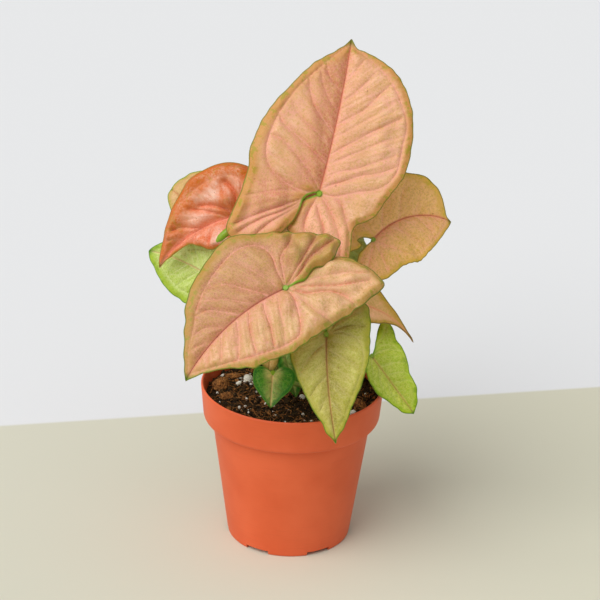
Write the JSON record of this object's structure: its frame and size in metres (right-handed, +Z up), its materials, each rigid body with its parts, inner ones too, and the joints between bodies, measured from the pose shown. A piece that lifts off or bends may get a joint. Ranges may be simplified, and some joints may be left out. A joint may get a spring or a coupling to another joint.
{
  "type": "potted syngonium",
  "caption": "Young arrowhead plant with pink and green arrow-shaped leaves on thin stalks, standing in soil in a round tapered nursery pot with a wide rim band.",
  "frame": {"origin": "middle of the pot's base, on its axis, where the pot stands", "axes": "+Z up along the pot's axis, -Y towards the side that the leaves face, +X to the right seen from there"},
  "size_m": [0.1756, 0.1532, 0.2873],
  "materials": {
    "pot_plastic": "satin injection-moulded terracotta colour",
    "soil": "matte dark peat and bark mix",
    "bark": "rough matte",
    "perlite": "matte white grain",
    "stalk": "satin green plant tissue",
    "leaf_pink": "satin pink leaf with pink veins and an olive edge",
    "leaf_olive": "satin olive and tan leaf with pink veins",
    "leaf_green": "satin pale green leaf with pale veins",
    "leaf_dark_green": "satin dark green leaf with a pale centre"
  },
  "bodies": {
    "root": {"pot": "pot_plastic", "soil": "soil", "bark_chip_left": "bark", "bark_chip_long": "bark", "bark_chip_tan": "bark", "bark_chip_right": "bark", "bark_chip_back": "bark", "perlite_left_large": "perlite", "perlite_left_small": "perlite", "perlite_middle": "perlite", "perlite_right": "perlite", "shoot_back": "stalk", "shoot_right": "stalk", "shoot_left": "stalk", "shoot_front": "stalk", "leaf_top": "leaf_pink", "leaf_front": "leaf_pink", "leaf_left": "leaf_pink", "leaf_back_high": "leaf_pink", "leaf_right": "leaf_olive", "leaf_left_back": "leaf_olive", "leaf_right_small": "leaf_olive", "leaf_soil_olive": "leaf_olive", "leaf_left_low": "leaf_green", "leaf_front_low": "leaf_green", "leaf_right_low": "leaf_green", "leaf_back_tall": "leaf_green", "leaf_back_left": "leaf_green", "leaf_back_right": "leaf_green", "leaf_soil_dark": "leaf_dark_green", "leaf_soil_hidden": "leaf_dark_green"}
  },
  "joints": []
}
